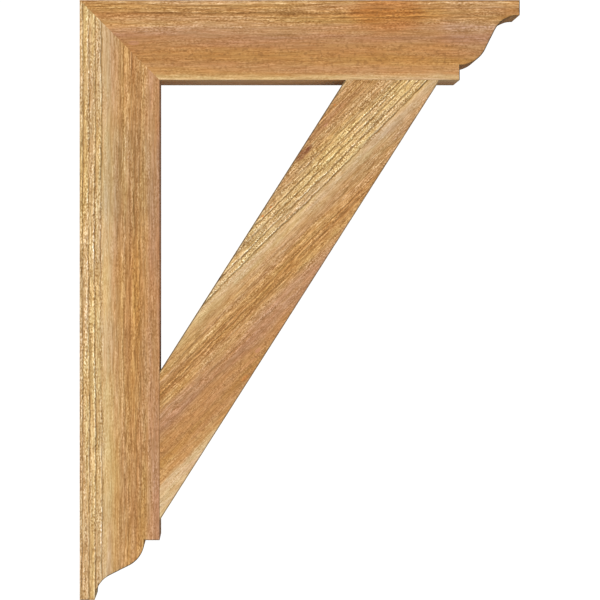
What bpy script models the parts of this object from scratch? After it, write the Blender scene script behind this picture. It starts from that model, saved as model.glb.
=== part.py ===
"""A timber corbel bracket: a wall post and a top arm mitred into a right angle,
with a diagonal brace between them and an ogee cut on both free ends.

Metres, +Z up. The origin is the centre of the post's flat back, which goes
against the wall. The arm reaches out along +X and the timbers' width is along Y.
"""
import math

import bpy

# Driving dimensions
HEIGHT = 0.762            # the post, from its foot to the arm's top
PROJECTION = 0.5588       # the arm, from the wall to its tip
TIMBER_WIDTH = 0.1016     # every timber, along the wall
POST_DEPTH = 0.1016       # the post, square to the wall
ARM_DEPTH = 0.1016        # the arm, top to underside
BRACE_DEPTH = 0.1016      # the brace, square to its own length

TIP_FILLET = 0.01905      # flat left at a timber's very end, next to its outer face
SHOULDER_FILLET = 0.01905     # square step between the S-curve and the timber's inner face
OGEE_LENGTH = 0.0762      # the carving, along the timber
OGEE_STRAIGHT = 0.0265    # the straight run between the two arcs of the S-curve
ARC_STEPS = 28            # facets in each arc

BRACE_SETBACK_ARM = 0.0254    # plain underside left between the brace and the arm's carving
BRACE_SETBACK_POST = 0.0254   # plain face left between the brace and the post's carving
JOINT_GAP = 0.0003            # clearance between timbers that bear on each other

WOOD_ROUGHNESS = 0.78

# Where the timbers meet
TOP = HEIGHT / 2
BOTTOM = -HEIGHT / 2
UNDERSIDE = TOP - ARM_DEPTH


def ogee_end(depth):
    """The carved end of a timber of this depth, as (across, from_tip) points.

    across is the distance from the timber's outer face and from_tip the
    distance from its very end. The curve leaves the tip fillet along the
    timber, hollows, runs straight, turns over and meets the shoulder fillet
    along the timber again.
    """
    rise = depth - TIP_FILLET - SHOULDER_FILLET
    radius = (OGEE_LENGTH ** 2 + rise ** 2 - OGEE_STRAIGHT ** 2) / (4 * rise)
    centres = math.hypot(OGEE_LENGTH, rise - 2 * radius)
    slope = math.atan2(OGEE_LENGTH, rise - 2 * radius) - math.asin(2 * radius / centres)
    sweep = math.pi / 2 - slope
    hollow = []
    round_over = []
    for step in range(ARC_STEPS + 1):
        angle = sweep * step / ARC_STEPS
        run, drop = radius * math.sin(angle), radius * (1 - math.cos(angle))
        hollow.append((TIP_FILLET + drop, run))
        round_over.append((TIP_FILLET + rise - drop, OGEE_LENGTH - run))
    return hollow + round_over[::-1]


def post_outline():
    """Side outline of the post: mitred top, back, carved foot and inner face."""
    slack = JOINT_GAP / 2 * math.hypot(1, ARM_DEPTH / POST_DEPTH)   # the mitre's gap, measured down
    carved = [(across, BOTTOM + from_tip) for across, from_tip in ogee_end(POST_DEPTH)]
    return [(0, TOP - slack), (0, BOTTOM)] + carved + [
        (POST_DEPTH, BOTTOM + OGEE_LENGTH),
        (POST_DEPTH, UNDERSIDE - slack),
    ]


def arm_outline():
    """Side outline of the arm: top, mitre, underside and carved tip."""
    slack = JOINT_GAP / 2 * math.hypot(1, POST_DEPTH / ARM_DEPTH)   # the mitre's gap, measured along
    carved = [(PROJECTION - from_tip, TOP - across) for across, from_tip in ogee_end(ARM_DEPTH)]
    return [(PROJECTION, TOP), (slack, TOP), (POST_DEPTH + slack, UNDERSIDE),
            (PROJECTION - OGEE_LENGTH, UNDERSIDE)] + carved[::-1]


def brace_outline():
    """Side outline of the brace, cut to the arm's underside and the post's inner face."""
    left, top = POST_DEPTH + JOINT_GAP, UNDERSIDE - JOINT_GAP
    right = PROJECTION - OGEE_LENGTH - BRACE_SETBACK_ARM
    foot = BOTTOM + OGEE_LENGTH + BRACE_SETBACK_POST
    reach, fall = right - left, top - foot
    length = math.hypot(reach, fall)
    seat_on_arm = BRACE_DEPTH * length / fall
    seat_on_post = BRACE_DEPTH * length / reach
    return [(right, top), (right - seat_on_arm, top), (left, foot + seat_on_post), (left, foot)]


def wood_material(name, colour):
    material = bpy.data.materials.new(name)
    material.use_nodes = True
    shader = material.node_tree.nodes["Principled BSDF"]
    shader.inputs["Base Color"].default_value = (*colour, 1.0)
    shader.inputs["Roughness"].default_value = WOOD_ROUGHNESS
    shader.inputs["Metallic"].default_value = 0.0
    material.diffuse_color = (*colour, 1.0)
    return material


def add_timber(name, outline, collection, colour):
    """A flat (x, z) outline given the timbers' width, centred on Y = 0."""
    curve = bpy.data.curves.new(name, "CURVE")
    curve.dimensions = "2D"
    curve.fill_mode = "BOTH"
    curve.extrude = TIMBER_WIDTH / 2
    spline = curve.splines.new("POLY")
    spline.points.add(len(outline) - 1)
    for point, (x, z) in zip(spline.points, outline):
        point.co = (x, z, 0.0, 1.0)
    spline.use_cyclic_u = True
    timber = bpy.data.objects.new(name, curve)
    timber.rotation_euler = (math.pi / 2, 0.0, 0.0)   # stands the drawing up in the XZ plane
    curve.materials.append(wood_material(name + "_wood", colour))
    collection.objects.link(timber)
    return timber


def build():
    for leftover in list(bpy.data.objects):
        bpy.data.objects.remove(leftover, do_unlink=True)
    collection = bpy.data.collections.new("timber_corbel_bracket")
    bpy.context.scene.collection.children.link(collection)

    add_timber("wall_post", post_outline(), collection, (0.564, 0.334, 0.147))
    add_timber("top_arm", arm_outline(), collection, (0.513, 0.258, 0.100))
    add_timber("diagonal_brace", brace_outline(), collection, (0.558, 0.323, 0.141))


build()
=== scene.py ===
import math

import bpy
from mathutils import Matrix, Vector


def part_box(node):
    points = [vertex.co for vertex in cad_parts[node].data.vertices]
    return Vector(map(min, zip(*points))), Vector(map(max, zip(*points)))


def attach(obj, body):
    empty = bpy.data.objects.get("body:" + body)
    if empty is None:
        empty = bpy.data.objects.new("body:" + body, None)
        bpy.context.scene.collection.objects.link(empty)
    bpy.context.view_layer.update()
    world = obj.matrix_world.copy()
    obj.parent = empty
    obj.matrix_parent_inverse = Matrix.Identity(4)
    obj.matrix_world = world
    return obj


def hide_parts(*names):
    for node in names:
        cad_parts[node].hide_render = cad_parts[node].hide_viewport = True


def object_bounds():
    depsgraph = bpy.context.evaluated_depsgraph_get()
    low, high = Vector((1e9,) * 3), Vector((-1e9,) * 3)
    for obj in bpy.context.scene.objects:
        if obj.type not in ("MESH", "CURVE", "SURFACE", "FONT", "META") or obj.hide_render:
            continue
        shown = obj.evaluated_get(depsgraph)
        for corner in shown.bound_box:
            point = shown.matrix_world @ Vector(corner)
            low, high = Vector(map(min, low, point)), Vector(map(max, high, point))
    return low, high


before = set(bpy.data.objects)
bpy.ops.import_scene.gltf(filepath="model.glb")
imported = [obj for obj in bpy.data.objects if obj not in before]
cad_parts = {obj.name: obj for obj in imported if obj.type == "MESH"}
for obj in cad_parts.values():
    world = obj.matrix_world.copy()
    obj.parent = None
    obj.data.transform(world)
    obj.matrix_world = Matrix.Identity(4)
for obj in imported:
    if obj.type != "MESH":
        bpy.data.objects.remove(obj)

cadLow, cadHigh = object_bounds()
postLow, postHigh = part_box("wall_post")
armLow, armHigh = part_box("top_arm")
braceLow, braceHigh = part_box("diagonal_brace")

# Sizes are in metres.
halfWidth = postHigh.y            # half of every timber's width along the wall
postFace = postHigh.x             # the post's inner face
underside = armLow.z              # the arm's lower face
seatGap = underside - braceHigh.z     # clearance that the solids keep at their joints
seam = 0.00001                        # and what is left of it here, so that the joints look tight
braceReach = braceHigh.x - braceLow.x
braceFall = braceHigh.z - braceLow.z
braceLength = math.hypot(braceReach, braceFall)
braceSeatArm = postFace * braceLength / braceFall     # its bearing on the arm, as deep a timber as the post
braceSeatPost = postFace * braceLength / braceReach
braceUpward = Vector((-braceFall, 0, braceReach)) / braceLength     # the way its upper side faces
braceShoulder = Vector((braceHigh.x - braceSeatArm, 0, braceHigh.z))

carving = {                       # the S-curve cut on both free ends
    "tipFillet": 0.01905,
    "shoulderFillet": 0.01905,
    "length": 0.0762,
    "straight": 0.0265,
    "arcSteps": 28,
}

sawing = {                        # how finely each timber's surface is worked
    "arrisEase": 0.0003,
    "carvedEase": 0.0012,         # on the carved ends' arrises
    "alongStep": 0.0046,
    "acrossStep": 0.00106,
    "quickFactor": 3.0,
    "grooveDepth": 0.0005,
    "ridgeHeight": 0.0003,
    "streakDepth": 0.0005,
    "tornDepth": 0.0005,
    "fuzzDepth": 0.0005,          # this and the next two are too fine for the mesh, so they are bump alone
    "threadDepth": 0.0002,
    "kerfDepth": 0.0004,          # the saw's lines on faces cut across the grain
    "flushShare": 0.60,           # the share of each noise's range that lies under the planed level
    "jointPlain": (0.0002, 0.003),    # how far from a joint the relief starts, and is full
    "creaseAngle": 40,            # degrees, past which an edge is shaded sharp
}

# One patch of each noise that the figure is drawn from: its size along the grain,
# across it and through the board, its detail and roughness, and a shift of its own.
fibreSizes = {
    "broken": ((0.011, 0.004, 0.010), 1.0, 0.5, 11.0),    # short gaps in the grooves
    "faint": ((0.05, 0.007, 0.020), 1.0, 0.5, 12.0),      # long ones
    "streaks": ((0.16, 0.0021, 0.006), 1.0, 0.5, 2.0),
    "threads": ((0.012, 0.0012, 0.004), 1.0, 0.5, 4.0),
    "torn": ((0.0095, 0.0026, 0.0026), 1.0, 0.5, 5.0),
    "fuzz": ((0.0019, 0.0014, 0.0014), 1.0, 0.5, 9.0),
    "rough": ((0.030, 0.0045, 0.008), 2.0, 0.6, 8.0),     # where the fibre is torn more and less
    "kerf": ((0.0019, 0.0019, 0.30), 1.0, 0.5, 21.0),
    "warmth": ((0.10, 0.012, 0.030), 2.0, 0.5, 15.0),
    "blush": ((0.022, 0.006, 0.020), 2.0, 0.5, 16.0),
    "cloud": ((0.12, 0.020, 0.030), 2.0, 0.5, 6.0),
    "pits": ((0.0055, 0.0018, 0.0018), 1.0, 0.5, 13.0),
    "ticks": ((0.0028, 0.0055, 0.0050), 1.0, 0.5, 14.0),
}

finish = {                        # how the cedar takes the light
    "roughness": 0.82,
    "specular": 0.25,
    "bump": 0.42,
    "redHold": 0.74,              # dark fibre keeps more of its red
    "blueHold": 1.48,             # than of its blue
    "darkest": 0.25,
}

# Tones of dry cedar, and the tones of the shade painted into its grooves and along its edges
rust = (0.390, 0.194, 0.071)
honey = (0.500, 0.298, 0.119)
cream = (0.537, 0.361, 0.174)
paleCream = (0.585, 0.396, 0.180)
sage = (0.530, 0.362, 0.190)
tan = (0.477, 0.283, 0.124)
gold = (0.465, 0.260, 0.101)
amber = (0.428, 0.216, 0.070)
rose = (0.460, 0.252, 0.120)
roseBrown = (0.410, 0.213, 0.105)
brown = (0.436, 0.219, 0.083)
wheat = (0.470, 0.252, 0.101)
paleEdge = (0.580, 0.400, 0.215)
# painted shade in the grooves' hollows
grooveShadeTone = (0.262, 0.128, 0.030)
pitBrown = (0.250, 0.108, 0.030)
# painted shade, on edges and on the far side of faces turned from the light
paintedShadeTone = (0.098, 0.069, 0.034)
redBrown = (0.200, 0.060, 0.022)
orange = (0.620, 0.190, 0.035)
pink = (0.520, 0.240, 0.140)

# The board that all three timbers are cut from: its figure, measured across the
# side face from the board's light edge.
board = {
    "pithAcross": -0.20,          # the tree's centre, off the board
    "pithDepth": 0.03,
    # place across the board, tone, torn fibre, long streaks, specks
    "bands": [
        (0.006, honey, 0.45, 0.70, 0.3),
        (0.023, rust, 0.55, 0.80, 0.7),
        (0.030, honey, 0.75, 0.60, 0.7),
        (0.041, honey, 0.80, 0.55, 0.7),
        (0.056, paleCream, 0.95, 0.60, 0.7),
        (0.076, cream, 1.00, 0.60, 0.7),
        (0.081, sage, 0.30, 0.20, 0.0),
        (0.085, sage, 0.20, 0.15, 0.0),
        (0.094, tan, 0.25, 0.45, 0.2),
        (0.106, gold, 0.50, 0.90, 0.4),
        (0.121, amber, 0.60, 1.00, 0.5),
        (0.131, gold, 0.60, 0.60, 0.5),
        (0.139, rose, 0.50, 0.38, 0.3),
        (0.151, roseBrown, 0.32, 0.26, 0.4),
        (0.168, brown, 0.30, 0.16, 0.8),
        (0.181, amber, 0.28, 0.26, 0.7),
        (0.189, wheat, 0.30, 0.22, 0.6),
        (0.197, wheat, 0.26, 0.20, 0.3),
        (0.202, paleEdge, 0.24, 0.14, 0.1),
        (0.206, paleEdge, 0.24, 0.14, 0.1),
    ],
    "grooveStart": 0.0616,        # the first of the deep wavy grooves in the pale wood
    "groovePitch": 0.00762,
    "grooveZone": (0.040, 0.0805),
    # single dark growth lines: place across, half width, strength
    "darkLines": [
        (0.1022, 0.0014, 0.45),
        (0.1147, 0.0013, 0.50),
        (0.1206, 0.0018, 0.45),
        (0.1257, 0.0012, 0.45),
        (0.1441, 0.0016, 0.40),
        (0.1530, 0.0020, 0.40),
        (0.1753, 0.0020, 0.45),
        (0.1822, 0.0014, 0.35),
    ],
    "paleLine": (0.1073, 0.0013),     # a thread of broken pale fibre: place across, half width
}

post = {
    "name": "rough_sawn_post",
    "node": "wall_post",
    "slot": "post_wood",
    "along": Vector((0, 0, 1)),
    "across": Vector((1, 0, 0)),
    "boardPlace": 0.0495,         # where this timber's side face starts on the board
    "alongPlace": 0.0,
    # painted shade along edges: a point on the edge, the way out of the timber there, breadth, strength
    "shadedEdges": [(Vector((0, 0, 0)), Vector((-1, 0, 0)), 0.0018, 0.22)],
    "tint": (1.02, 1.01, 1.01),   # how this timber's wood differs from the board's tones
    "grooveHold": 0.80,           # how unbroken its grooves are
    "fibreLength": 1.7,           # how drawn out its figure is along the grain
    "raggedness": 0.90,           # how deeply its torn fibre and grooves are shaded
    # patches of the timber that are redder, paler or duller: place along and across the board,
    # half length, half breadth, tint
    "patches": [
        (-0.13, 0.090, 0.16, 0.020, (1.02, 1.03, 0.97)),
        (0.155, 0.115, 0.085, 0.055, (0.90, 0.95, 1.03)),
        (0.015, 0.110, 0.060, 0.050, (1.05, 1.02, 0.93)),
    ],
    # marks on the side face: along, across, half length, half breadth, tone, strength
    "stains": [],
}
arm = {
    "name": "rough_sawn_arm",
    "node": "top_arm",
    "slot": "arm_wood",
    "along": Vector((1, 0, 0)),
    "across": Vector((0, 0, -1)),
    "boardPlace": 0.1041 + armHigh.z,
    "alongPlace": 1.7,
    "shadedEdges": [(armHigh, Vector((0, 0, 1)), 0.0024, 0.30)],
    "tint": (0.99, 0.94, 0.88),
    "grooveHold": 0.5,
    "fibreLength": 1.7,
    "raggedness": 0.95,
    "patches": [
        (0.200, 0.120, 0.150, 0.045, (1.02, 1.08, 1.17)),
        (0.392, 0.122, 0.060, 0.028, (0.95, 0.77, 0.57)),
        (0.500, 0.130, 0.050, 0.060, (0.96, 1.02, 1.24)),
    ],
    "stains": [(0.0686, 0.1588, 0.009, 0.0034, pink, 0.45)],
}
brace = {
    "name": "rough_sawn_brace",
    "node": "diagonal_brace",
    "slot": "brace_wood",
    "along": Vector((1, 0, 1)).normalized(),
    "across": Vector((1, 0, -1)).normalized(),
    "boardPlace": -0.0385,
    "alongPlace": 3.4,
    "shadedEdges": [
        (braceShoulder, braceUpward, 0.0018, 0.85),
        (braceHigh, -braceUpward, 0.0018, 0.60),
    ],
    "tint": (1.025, 1.015, 1.00),
    "grooveHold": 0.85,
    "fibreLength": 1.0,
    "raggedness": 1.12,
    "patches": [
        (0.400, 0.095, 0.070, 0.020, (0.92, 0.94, 1.02)),
        (0.150, 0.060, 0.130, 0.030, (1.04, 1.06, 1.08)),
    ],
    "stains": [
        (0.333, 0.0310, 0.019, 0.0048, redBrown, 0.80),
        (0.255, 0.0495, 0.0022, 0.0016, orange, 0.75),
        (0.2398, 0.0504, 0.0020, 0.0016, orange, 0.75),
        (0.4041, 0.0152, 0.0022, 0.0016, orange, 0.75),
        (0.378, 0.0253, 0.0040, 0.0020, pink, 0.60),
        (0.0781, 0.1797, 0.0075, 0.0026, orange, 0.35),
        (0.1149, 0.1664, 0.0060, 0.0030, pink, 0.40),
    ],
}


# Node trees. The same functions draw in a material and in the relief's geometry nodes.
def plug(tree, value, socket):
    if isinstance(value, bpy.types.NodeSocket):
        tree.links.new(value, socket)
    else:
        socket.default_value = value


def addNode(tree, kind, inputs, **settings):
    made = tree.nodes.new(kind)
    for key, value in settings.items():
        setattr(made, key, value)
    for key, value in inputs.items():
        plug(tree, value, made.inputs[key])
    return made


def calc(tree, operation, first, second=0.0, third=0.0):
    return addNode(tree, "ShaderNodeMath", {0: first, 1: second, 2: third}, operation=operation).outputs[0]


def product(tree, first, *others):
    for other in others:
        first = calc(tree, "MULTIPLY", first, other)
    return first


def fade(tree, value, start, end, low=0.0, high=1.0):
    made = addNode(tree, "ShaderNodeMapRange",
                   {"Value": value, "From Min": start, "From Max": end, "To Min": low, "To Max": high},
                   interpolation_type="SMOOTHSTEP")
    return made.outputs[0]


def dot(tree, point, direction):
    made = addNode(tree, "ShaderNodeVectorMath", {0: point, 1: direction}, operation="DOT_PRODUCT")
    return made.outputs["Value"]


def grain(tree, point, timber):
    # Along the grain, across the board, through its depth, and out from the tree's centre
    along = calc(tree, "ADD", dot(tree, point, timber["along"]), timber["alongPlace"])
    across = calc(tree, "ADD", dot(tree, point, timber["across"]), timber["boardPlace"])
    depth = dot(tree, point, Vector((0, 1, 0)))
    outAcross = calc(tree, "SUBTRACT", across, board["pithAcross"])
    outDepth = calc(tree, "SUBTRACT", depth, board["pithDepth"])
    ring = calc(tree, "MULTIPLY_ADD", outDepth, outDepth, product(tree, outAcross, outAcross))
    ring = calc(tree, "SQRT", ring)
    run = calc(tree, "MULTIPLY", along, 1 / timber["fibreLength"])
    return {"along": along, "run": run, "across": across, "depth": depth, "ring": ring}


def ringAt(across):
    # The ring that shows at this place across the board on the photographed side
    return math.hypot(across - board["pithAcross"], -halfWidth - board["pithDepth"])


def stretchedNoise(tree, place, lengths, detail, roughness, shift, across="across"):
    # Noise drawn out along the grain: lengths are one patch's size along, across and through
    scaled = [calc(tree, "MULTIPLY_ADD", place[key], 1 / size, shift)
              for key, size in zip(("run", across, "depth"), lengths)]
    vector = addNode(tree, "ShaderNodeCombineXYZ", {0: scaled[0], 1: scaled[1], 2: scaled[2]}).outputs[0]
    made = addNode(tree, "ShaderNodeTexNoise",
                   {"Vector": vector, "Scale": 1.0, "Detail": detail, "Roughness": roughness})
    return made.outputs[0]


def fibres(tree, place, name, across="across"):
    return stretchedNoise(tree, place, *fibreSizes[name], across=across)


def crisp(tree, noise):
    # Noise with its middle range stretched, so that fibres have edges
    return fade(tree, noise, 0.30, 0.70)


def wander(tree, place):
    # The rings drift from side to side along the board, and the torn fibre makes them jitter.
    # Each row is the size of a patch along, across and through, then how far it moves them.
    ring = place["ring"]
    for lengths, swing, shift in (((0.22, 0.05, 0.06), 0.006, 3.1),
                                  ((0.014, 0.010, 0.020), 0.0028, 7.7),
                                  ((0.0036, 0.0060, 0.0060), 0.0026, 17.3)):
        noise = stretchedNoise(tree, place, lengths, 1.0, 0.5, shift)
        ring = calc(tree, "ADD", ring, calc(tree, "MULTIPLY_ADD", noise, swing, -swing / 2))
    return {**place, "ring": ring}


def bandRamp(tree, place, pick):
    # One value or tone for each band of the board, blended across it
    first, last = ringAt(-0.03), ringAt(0.26)
    share = calc(tree, "MULTIPLY_ADD", place["ring"], 1 / (last - first), -first / (last - first))
    ramp = addNode(tree, "ShaderNodeValToRGB", {0: share})
    stops = ramp.color_ramp.elements
    while len(stops) < len(board["bands"]):
        stops.new(1.0)
    for stop, band in zip(stops, board["bands"]):
        stop.position = (ringAt(band[0]) - first) / (last - first)
        stop.color = (*pick(band), 1.0)
    return ramp.outputs[0]


def grooveWaves(tree, place, hold):
    # Deep wavy grooves at even distances in the pale wood, each with a raised lip beside it
    low, high = board["grooveZone"]
    zone = calc(tree, "MULTIPLY", fade(tree, place["ring"], ringAt(low), ringAt(low + 0.012)),
                fade(tree, place["ring"], ringAt(high), ringAt(high + 0.003), 1.0, 0.0))
    broken = fade(tree, fibres(tree, place, "broken"), 0.32, 0.58, hold, 1.0)
    faint = fade(tree, fibres(tree, place, "faint"), 0.30, 0.55, hold, 1.0)
    strength = product(tree, zone, broken, faint)
    waves = []
    for lead in (0.0, 0.0018):
        turns = calc(tree, "MULTIPLY_ADD", place["ring"], 2 * math.pi / board["groovePitch"],
                     -2 * math.pi * ringAt(board["grooveStart"] - lead) / board["groovePitch"])
        crest = calc(tree, "POWER", calc(tree, "MAXIMUM", calc(tree, "COSINE", turns), 0.0), 3.0)
        waves.append(calc(tree, "MULTIPLY", crest, strength))
    return {"groove": waves[0], "lip": waves[1], "zone": strength}


def ringLine(tree, place, at, spread, strength):
    off = calc(tree, "ABSOLUTE", calc(tree, "SUBTRACT", place["ring"], ringAt(at)))
    return fade(tree, off, 0.0, spread, strength, 0.0)


def woodFigure(tree, place, plan):
    # Everything that both the colour and the relief are drawn from
    masks = addNode(tree, "ShaderNodeSeparateXYZ", {0: bandRamp(tree, place, lambda band: band[2:5])})
    lines = 0.0
    for at, spread, strength in board["darkLines"]:
        lines = calc(tree, "MAXIMUM", ringLine(tree, place, at, spread, strength), lines)
    return {
        **grooveWaves(tree, place, plan["grooveHold"]),
        "lines": lines,
        "tornShare": masks.outputs[0],
        "streakShare": masks.outputs[1],
        "speckShare": masks.outputs[2],
        "streaks": crisp(tree, fibres(tree, place, "streaks", across="ring")),
        "threads": crisp(tree, fibres(tree, place, "threads")),
        "torn": crisp(tree, fibres(tree, place, "torn")),
        "fuzz": crisp(tree, fibres(tree, place, "fuzz")),
        "rough": fade(tree, fibres(tree, place, "rough"), 0.38, 0.66, 0.4, 1.5),
        "kerf": crisp(tree, fibres(tree, place, "kerf")),
    }


def belowFlush(tree, noise, depth, share):
    # A noise as height in metres, mostly under the timber's planed level
    return product(tree, calc(tree, "MULTIPLY_ADD", noise, depth, -depth * sawing["flushShare"]), share)


def surfaceHeight(tree, figure):
    # Height of the sawn surface in metres, as the mesh carries it
    height = calc(tree, "MULTIPLY", figure["groove"], -sawing["grooveDepth"])
    lip = calc(tree, "MULTIPLY", calc(tree, "SUBTRACT", figure["lip"], figure["zone"]), sawing["ridgeHeight"])
    height = calc(tree, "ADD", height, lip)
    height = calc(tree, "MULTIPLY_ADD", figure["lines"], -0.4 * sawing["grooveDepth"], height)
    for noise, depth, share in (("streaks", "streakDepth", "streakShare"),
                                ("torn", "tornDepth", "tornShare")):
        height = calc(tree, "ADD", height, belowFlush(tree, figure[noise], sawing[depth], figure[share]))
    return height


# Making a timber
def extrudeTo(step):
    bpy.ops.mesh.extrude_vertices_move(TRANSFORM_OT_translate={"value": step})


def spinRound(centre, axis, angle):
    bpy.ops.mesh.spin(steps=carving["arcSteps"], angle=angle, center=centre, axis=axis)


def startOutline(name, first):
    # A plane merged to one vertex, from which the side outline is drawn
    bpy.ops.object.select_all(action="DESELECT")
    bpy.ops.mesh.primitive_plane_add(size=0.01, location=(0, 0, 0))
    timber = bpy.context.object
    timber.name = timber.data.name = name
    bpy.ops.object.mode_set(mode="EDIT")
    bpy.ops.mesh.select_mode(type="VERT")
    bpy.ops.mesh.select_all(action="SELECT")
    bpy.ops.mesh.merge(type="CENTER")
    bpy.ops.transform.translate(value=first)
    return timber


def drawOgee(corner, along, across):
    # From the timber's end corner: tip fillet, hollow, straight, round and shoulder fillet.
    # along points from the end into the timber, across from its outer face inwards.
    rise = postFace - carving["tipFillet"] - carving["shoulderFillet"]
    radius = (carving["length"] ** 2 + rise ** 2 - carving["straight"] ** 2) / (4 * rise)
    centres = math.hypot(carving["length"], rise - 2 * radius)
    slope = math.atan2(carving["length"], rise - 2 * radius) - math.asin(2 * radius / centres)
    sweep = math.pi / 2 - slope
    axis = across.cross(along)
    extrudeTo(across * carving["tipFillet"])
    spinRound(corner + across * (carving["tipFillet"] + radius), axis, sweep)
    extrudeTo((across * math.cos(slope) + along * math.sin(slope)) * carving["straight"])
    spinRound(corner + across * (postFace - carving["shoulderFillet"] - radius) + along * carving["length"],
              axis, -sweep)
    extrudeTo(across * carving["shoulderFillet"])


def closeOutline():
    # Fills the outline and gives the timber its width
    bpy.ops.mesh.select_all(action="SELECT")
    bpy.ops.mesh.edge_face_add()
    bpy.ops.mesh.extrude_region_move(TRANSFORM_OT_translate={"value": (0, 2 * halfWidth, 0)})
    bpy.ops.mesh.select_all(action="SELECT")
    bpy.ops.mesh.remove_doubles(threshold=0.00001)
    bpy.ops.mesh.normals_make_consistent(inside=False)


def easeArrises(timber, plan, tip, jointPlanes):
    # Takes the sharpness off the outline's edges, most on the carved end, but not where two timbers meet
    def onJoint(ends):
        return any(all(abs((end - at).dot(facing)) < seatGap for end in ends) for at, facing in jointPlanes)
    bpy.ops.object.mode_set(mode="OBJECT")
    points = timber.data.vertices
    weights = timber.data.attributes.new("bevel_weight_edge", "FLOAT", "EDGE")
    for edge, weight in zip(timber.data.edges, weights.data):
        first, second = (points[index].co for index in edge.vertices)
        if abs(first.y - second.y) > 0.00001 or onJoint((first, second)):
            continue
        middle = (first + second) / 2
        carved = tip is not None and abs((middle - tip).dot(plan["along"])) < carving["length"]
        weight.value = 1.0 if carved else sawing["arrisEase"] / sawing["carvedEase"]
    bevel = timber.modifiers.new("eased arrises", "BEVEL")
    bevel.limit_method = "WEIGHT"
    bevel.width = sawing["carvedEase"]
    bevel.segments = 2
    bevel.use_clamp_overlap = False
    bpy.ops.object.modifier_apply(modifier=bevel.name)


def cutAcross(timber, direction, step):
    # Parallel cuts across the whole timber, so that its surface can carry relief
    reach = [direction.dot(vertex.co) for vertex in timber.data.vertices]
    first, last = min(reach), max(reach)
    count = math.ceil((last - first) / step)
    for cut in range(1, count):
        bpy.ops.mesh.select_all(action="SELECT")
        bpy.ops.mesh.bisect(plane_co=direction * (first + (last - first) * cut / count),
                            plane_no=direction, threshold=0.00003)


def workSurface(timber, plan):
    coarse = 1.0
    bpy.ops.object.mode_set(mode="EDIT")
    cutAcross(timber, plan["along"], sawing["alongStep"] * coarse)
    cutAcross(timber, plan["across"], sawing["acrossStep"] * coarse)
    cutAcross(timber, Vector((0, 1, 0)), sawing["acrossStep"] * coarse)
    bpy.ops.object.mode_set(mode="OBJECT")


def carveRelief(timber, plan, jointPlanes):
    # Geometry nodes push the surface in along its normals; the modifier is then applied
    tree = bpy.data.node_groups.new(plan["name"] + "_relief", "GeometryNodeTree")
    tree.interface.new_socket("Geometry", in_out="INPUT", socket_type="NodeSocketGeometry")
    tree.interface.new_socket("Geometry", in_out="OUTPUT", socket_type="NodeSocketGeometry")
    start = tree.nodes.new("NodeGroupInput")
    end = tree.nodes.new("NodeGroupOutput")
    point = tree.nodes.new("GeometryNodeInputPosition").outputs[0]
    normal = tree.nodes.new("GeometryNodeInputNormal").outputs[0]
    figure = woodFigure(tree, wander(tree, grain(tree, point, plan)), plan)
    sideways = calc(tree, "ABSOLUTE", dot(tree, normal, Vector((0, 1, 0))))
    height = product(tree, calc(tree, "MINIMUM", surfaceHeight(tree, figure), 0.0),
                     calc(tree, "MULTIPLY_ADD", sideways, 0.75, 0.25))     # the side faces are the roughest
    for at, facing in jointPlanes:            # the timber keeps its size where it meets another
        off = calc(tree, "ABSOLUTE", calc(tree, "SUBTRACT", dot(tree, point, facing), at.dot(facing)))
        height = calc(tree, "MULTIPLY", height, fade(tree, off, *sawing["jointPlain"]))
    push = addNode(tree, "ShaderNodeVectorMath", {0: normal, "Scale": height}, operation="SCALE").outputs[0]
    moved = addNode(tree, "GeometryNodeSetPosition", {"Geometry": start.outputs[0], "Offset": push})
    tree.links.new(moved.outputs[0], end.inputs[0])
    modifier = timber.modifiers.new("relief", "NODES")
    modifier.node_group = tree
    bpy.ops.object.modifier_apply(modifier=modifier.name)


def tinted(tree, share, tone, colour):
    # Some of another tone laid over a colour
    return addNode(tree, "ShaderNodeMix", {"Factor": share, 6: colour, 7: (*tone, 1.0)},
                   data_type="RGBA").outputs[2]


def sway(tree, noise, swing):
    # A multiplier around 1 that follows a noise
    return calc(tree, "MULTIPLY_ADD", calc(tree, "SUBTRACT", noise, 0.5), swing, 1.0)


def toned(tree, colour, multiplier):
    return addNode(tree, "ShaderNodeVectorMath", {0: colour, 1: multiplier}, operation="MULTIPLY").outputs[0]


def spot(tree, place, plan, patch, strength):
    # A soft-edged oval on the board: place along and across it, half length, half breadth
    along, across, halfLength, halfBreadth = patch
    offAlong = calc(tree, "MULTIPLY_ADD", place["along"], 1 / halfLength,
                    -(along + plan["alongPlace"]) / halfLength)
    offAcross = calc(tree, "MULTIPLY_ADD", place["across"], 1 / halfBreadth, -across / halfBreadth)
    off = calc(tree, "MULTIPLY_ADD", offAlong, offAlong, product(tree, offAcross, offAcross))
    return fade(tree, off, 0.2, 1.0, strength, 0.0)


def between(tree, share, first, second):
    return addNode(tree, "ShaderNodeMix", {"Factor": share, 6: (*first, 1.0), 7: (*second, 1.0)},
                   data_type="RGBA").outputs[2]


def baseTone(tree, place, plan):
    # The board's bands, with broad patches that are redder, yellower or duller
    tone = toned(tree, bandRamp(tree, place, lambda band: band[1]), plan["tint"])
    warmth = crisp(tree, fibres(tree, place, "warmth"))
    tone = toned(tree, tone, between(tree, warmth, (1.04, 1.03, 0.87), (0.99, 0.97, 1.02)))
    blush = crisp(tree, fibres(tree, place, "blush"))
    tone = toned(tree, tone, between(tree, blush, (1.02, 0.985, 0.97), (0.98, 1.015, 1.03)))
    for *patch, tint in plan["patches"]:
        share = spot(tree, place, plan, patch, 1.0)
        tone = toned(tree, tone, between(tree, share, (1.0, 1.0, 1.0), tint))
    return tone


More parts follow.
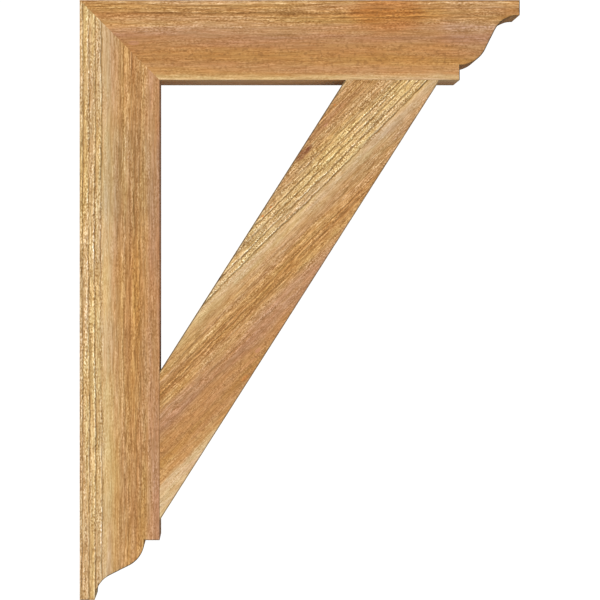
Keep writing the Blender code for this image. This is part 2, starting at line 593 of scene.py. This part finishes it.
def fibreShade(tree, place, figure, cut, plan):
    # Light and dark in the wood: broad clouds, streaks along the rings, threads, torn fibre
    # and a painted highlight on the grooves' raised lips. Where the timber is cut across, the saw's lines
    # take over.
    cloud = fibres(tree, place, "cloud")
    streakSwing = calc(tree, "MULTIPLY_ADD", figure["streakShare"], 0.40, 0.04)
    threadSwing = calc(tree, "MULTIPLY_ADD", figure["streakShare"], 0.42, 0.26)
    rough = product(tree, figure["rough"], plan["raggedness"])
    tornSwing = product(tree, calc(tree, "MULTIPLY_ADD", figure["tornShare"], 0.18, 0.05), rough)
    fuzzSwing = product(tree, calc(tree, "MULTIPLY_ADD", figure["tornShare"], 0.76, 0.14), rough)
    at, spread = board["paleLine"]
    flecks = product(tree, ringLine(tree, place, at, spread, 0.6), figure["torn"])
    return product(tree, sway(tree, cloud, 0.22),
                   sway(tree, figure["streaks"], streakSwing), sway(tree, figure["threads"], threadSwing),
                   sway(tree, figure["torn"], tornSwing), sway(tree, figure["fuzz"], fuzzSwing),
                   # painted highlight: each groove's lip, raised in the relief, is also brightened in colour
                   # as if it caught the light
                   calc(tree, "MULTIPLY_ADD", figure["lip"], 0.42, 1.0), calc(tree, "ADD", flecks, 1.0),
                   sway(tree, figure["kerf"], calc(tree, "MULTIPLY", cut, 0.45)),
                   calc(tree, "MULTIPLY_ADD", cut, -0.38, 1.0))


def cedar(plan):
    # Rough-sawn cedar: banded tone, streaks, torn fibre and darker end grain, with painted shade in the
    # grooves, along edges and on the far side of faces turned from the light, and a painted highlight on the
    # grooves' lips
    material = bpy.data.materials.new(plan["name"] + "_cedar")
    material.use_nodes = True
    tree = material.node_tree
    shader = tree.nodes["Principled BSDF"]
    coordinates = tree.nodes.new("ShaderNodeTexCoord")
    normal = coordinates.outputs["Normal"]
    still = grain(tree, coordinates.outputs["Object"], plan)
    place = wander(tree, still)
    figure = woodFigure(tree, place, plan)
    cut = fade(tree, calc(tree, "ABSOLUTE", dot(tree, normal, plan["along"])), 0.15, 0.60)

    shade = calc(tree, "MAXIMUM", fibreShade(tree, place, figure, cut, plan), finish["darkest"])
    depth = addNode(tree, "ShaderNodeCombineXYZ",
                    {0: calc(tree, "POWER", shade, finish["redHold"]), 1: shade,
                     2: calc(tree, "POWER", shade, finish["blueHold"])}).outputs[0]
    colour = toned(tree, baseTone(tree, place, plan), depth)

    pits = fade(tree, fibres(tree, place, "pits"), 0.62, 0.72)
    ticks = fade(tree, fibres(tree, place, "ticks"), 0.59, 0.66)
    colour = tinted(tree, product(tree, pits, figure["speckShare"], 0.6), pitBrown, colour)
    colour = tinted(tree, product(tree, ticks, figure["speckShare"], 0.65), pitBrown, colour)
    colour = tinted(tree, product(tree, figure["lines"], 0.65), pitBrown, colour)
    # painted shade: the grooves' hollows are darkened in colour as if shaded
    paintedGrooveShade = product(tree, figure["groove"], 0.75 * plan["raggedness"])
    colour = tinted(tree, paintedGrooveShade, grooveShadeTone, colour)

    nearSide = fade(tree, still["depth"], -0.047, -0.040, 1.0, 0.0)
    for *patch, tone, strength in plan["stains"]:
        share = product(tree, spot(tree, place, plan, patch, strength), nearSide,
                        calc(tree, "MULTIPLY_ADD", figure["torn"], 0.7, 0.6))
        colour = tinted(tree, share, tone, colour)

    # Painted shade: dark lines along the arrises of the carved ends, and along each long edge named in the
    # plan
    sideways = calc(tree, "ABSOLUTE", dot(tree, normal, Vector((0, 1, 0))))
    sawn = calc(tree, "ABSOLUTE", dot(tree, normal, plan["along"]))
    arris = product(tree, fade(tree, sideways, 0.12, 0.35), fade(tree, sideways, 0.95, 0.995, 1.0, 0.0),
                    fade(tree, sawn, 0.08, 0.22), 0.95)
    for at, facing, breadth, strength in plan["shadedEdges"]:
        inward = calc(tree, "SUBTRACT", at.dot(facing), dot(tree, coordinates.outputs["Object"], facing))
        line = product(tree, fade(tree, inward, breadth * 0.6, breadth, strength, 0.0),
                       fade(tree, sideways, 0.2, 0.5))
        arris = calc(tree, "MAXIMUM", arris, line)
    # painted shade: faces turned inwards and down, away from the key light, darken towards their far side
    shadedFacing = fade(tree, dot(tree, normal, Vector((1, 0, -1))), 0.3, 0.8)
    rim = product(tree, fade(tree, still["depth"], halfWidth - 0.020, halfWidth - 0.004), shadedFacing,
                  fade(tree, sideways, 0.2, 0.5, 0.7, 0.0))
    colour = tinted(tree, calc(tree, "MAXIMUM", arris, rim), paintedShadeTone, colour)
    tree.links.new(colour, shader.inputs["Base Color"])

    height = surfaceHeight(tree, figure)
    fuzzShare = product(tree, calc(tree, "MULTIPLY_ADD", figure["tornShare"], 0.85, 0.15), figure["rough"])
    for fine in (product(tree, figure["fuzz"], fuzzShare, sawing["fuzzDepth"]),
                 product(tree, figure["threads"], sawing["threadDepth"]),
                 product(tree, figure["kerf"], cut, sawing["kerfDepth"])):
        height = calc(tree, "ADD", height, fine)
    bump = addNode(tree, "ShaderNodeBump", {"Strength": finish["bump"], "Distance": 1.0, "Height": height})
    tree.links.new(bump.outputs[0], shader.inputs["Normal"])
    shader.inputs["Roughness"].default_value = finish["roughness"]
    shader.inputs["Specular IOR Level"].default_value = finish["specular"]
    return material


def finishTimber(timber, plan, jointPlanes):
    carveRelief(timber, plan, jointPlanes)
    bpy.ops.object.shade_smooth_by_angle(angle=math.radians(sawing["creaseAngle"]))
    timber.data.materials.clear()
    timber.data.materials.append(cedar(plan))
    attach(timber, "root")
    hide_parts(plan["node"])
    faces = sum(len(face.vertices) - 2 for face in timber.data.polygons)
    print(plan["name"], "ready,", faces, "triangles")


mitrePoint = Vector((0, 0, armHigh.z))
mitreFacing = Vector((armHigh.z - underside, 0, postFace)).normalized()
mitre = [(mitrePoint, mitreFacing)]
braceTop = Vector((0, 0, underside - seam))
braceEnd = Vector((postFace + seam, 0, 0))
seats = [(braceTop, Vector((0, 0, 1))), (braceEnd, Vector((1, 0, 0)))]


def makePost():
    foot = Vector((0, -halfWidth, postLow.z))
    top = armHigh.z - seam
    timber = startOutline(post["name"], Vector((0, -halfWidth, top)))
    extrudeTo(Vector((0, 0, postLow.z - top)))
    drawOgee(foot, Vector((0, 0, 1)), Vector((1, 0, 0)))
    extrudeTo(Vector((0, 0, underside - seam - postLow.z - carving["length"])))
    closeOutline()
    easeArrises(timber, post, foot, mitre)
    workSurface(timber, post)
    finishTimber(timber, post, mitre)


def makeArm():
    tip = Vector((armHigh.x, -halfWidth, armHigh.z))
    timber = startOutline(arm["name"], Vector((seam, -halfWidth, armHigh.z)))
    extrudeTo(Vector((armHigh.x - seam, 0, 0)))
    drawOgee(tip, Vector((-1, 0, 0)), Vector((0, 0, -1)))
    extrudeTo(Vector((seam + postFace - armHigh.x + carving["length"], 0, 0)))
    closeOutline()
    easeArrises(timber, arm, tip, mitre)
    workSurface(timber, arm)
    finishTimber(timber, arm, mitre)


def makeBrace():
    # Its sides run on, along their own slope, to meet the arm and the post
    nearer = seatGap - seam
    shoulder = Vector((braceHigh.x + nearer * braceReach / braceFall, -halfWidth, braceTop.z))
    foot = Vector((braceEnd.x, -halfWidth, braceLow.z - nearer * braceFall / braceReach))
    timber = startOutline(brace["name"], shoulder)
    extrudeTo(Vector((-braceSeatArm, 0, 0)))
    extrudeTo(foot - shoulder + Vector((braceSeatArm, 0, braceSeatPost)))
    extrudeTo(Vector((0, 0, -braceSeatPost)))
    closeOutline()
    easeArrises(timber, brace, None, seats)
    workSurface(timber, brace)
    finishTimber(timber, brace, seats)


makePost()
makeArm()
makeBrace()


# Stage, light and camera
studio = {
    "floorDrop": 0.45,            # the bracket hangs this far above the floor
    "floorSize": 60.0,
    "keyFrom": Vector((-0.50, -0.60, 0.62)),
    "keyDistance": 3.0,
    "keySoftness": 18.0,          # degrees across, as a large soft box seems from the bracket
    "keyPower": 4.2,
    "ambient": 0.30,
    "backdrop": 1.05,             # as the camera sees it
    "floorSeen": (0.96, 0.96, 0.96),      # the floor is white to the camera,
    "floorBounce": (0.42, 0.42, 0.42),    # and what it throws back up at the timbers is dimmer
}
view = {
    "lens": 169.0,
    "sensor": 36.0,
    "metresPerPixel": 0.001269,   # at the bracket's near side face
    "framePixels": 600,
    "objectLeft": 79.55,          # the wall face's column in the photograph
    "objectTop": -0.1,            # the arm's top row
    "eyeColumn": 219,             # the vanishing point of the edges that run away from the eye
    "eyeRow": 277,
}


def makeStage():
    bpy.ops.object.select_all(action="DESELECT")
    bpy.ops.mesh.primitive_plane_add(size=studio["floorSize"],
                                     location=(0, 0, cadLow.z - studio["floorDrop"]))
    floor = bpy.context.object
    floor.name = "studio_floor"
    paint = bpy.data.materials.new("pale_floor")
    paint.use_nodes = True
    shader = paint.node_tree.nodes["Principled BSDF"]
    ray = paint.node_tree.nodes.new("ShaderNodeLightPath")
    bright = between(paint.node_tree, ray.outputs["Is Camera Ray"], studio["floorBounce"],
                     studio["floorSeen"])
    paint.node_tree.links.new(bright, shader.inputs["Base Color"])
    shader.inputs["Roughness"].default_value = 0.9
    shader.inputs["Specular IOR Level"].default_value = 0.0
    floor.data.materials.append(paint)
    print("floor laid")


def makeLight():
    world = bpy.data.worlds.new("studio_white")
    bpy.context.scene.world = world
    world.use_nodes = True
    tree = world.node_tree
    tree.nodes.clear()
    seen = addNode(tree, "ShaderNodeBackground", {"Color": (1, 1, 1, 1), "Strength": studio["backdrop"]})
    lighting = addNode(tree, "ShaderNodeBackground", {"Color": (1, 1, 1, 1), "Strength": studio["ambient"]})
    ray = tree.nodes.new("ShaderNodeLightPath")
    chosen = addNode(tree, "ShaderNodeMixShader",
                     {0: ray.outputs["Is Camera Ray"], 1: lighting.outputs[0], 2: seen.outputs[0]})
    addNode(tree, "ShaderNodeOutputWorld", {"Surface": chosen.outputs[0]})

    middle = (cadLow + cadHigh) / 2
    direction = studio["keyFrom"].normalized()
    bpy.ops.object.light_add(type="SUN", location=middle + direction * studio["keyDistance"])
    key = bpy.context.object
    key.name = "key_light"
    key.rotation_euler = direction.to_track_quat("Z", "Y").to_euler()
    key.data.angle = math.radians(studio["keySoftness"])
    key.data.energy = studio["keyPower"]
    print("lights up")


def makeCamera():
    # Square on to the side face, with the lens shifted as the photograph is framed
    distance = view["metresPerPixel"] * view["framePixels"] * view["lens"] / view["sensor"]
    eyeX = (view["eyeColumn"] - view["objectLeft"]) * view["metresPerPixel"]
    eyeZ = cadHigh.z - (view["eyeRow"] - view["objectTop"]) * view["metresPerPixel"]
    bpy.ops.object.camera_add(location=(eyeX, -halfWidth - distance, eyeZ), rotation=(math.pi / 2, 0, 0))
    camera = bpy.context.object
    camera.name = "photo_camera"
    camera.data.lens = view["lens"]
    camera.data.sensor_width = view["sensor"]
    camera.data.shift_x = 0.5 - view["eyeColumn"] / view["framePixels"]
    camera.data.shift_y = view["eyeRow"] / view["framePixels"] - 0.5
    camera.data.clip_end = 100.0
    bpy.context.scene.camera = camera
    print("camera set")


makeStage()
makeLight()
makeCamera()
bpy.context.scene.view_settings.view_transform = "Standard"
bpy.context.scene.view_settings.look = "None"
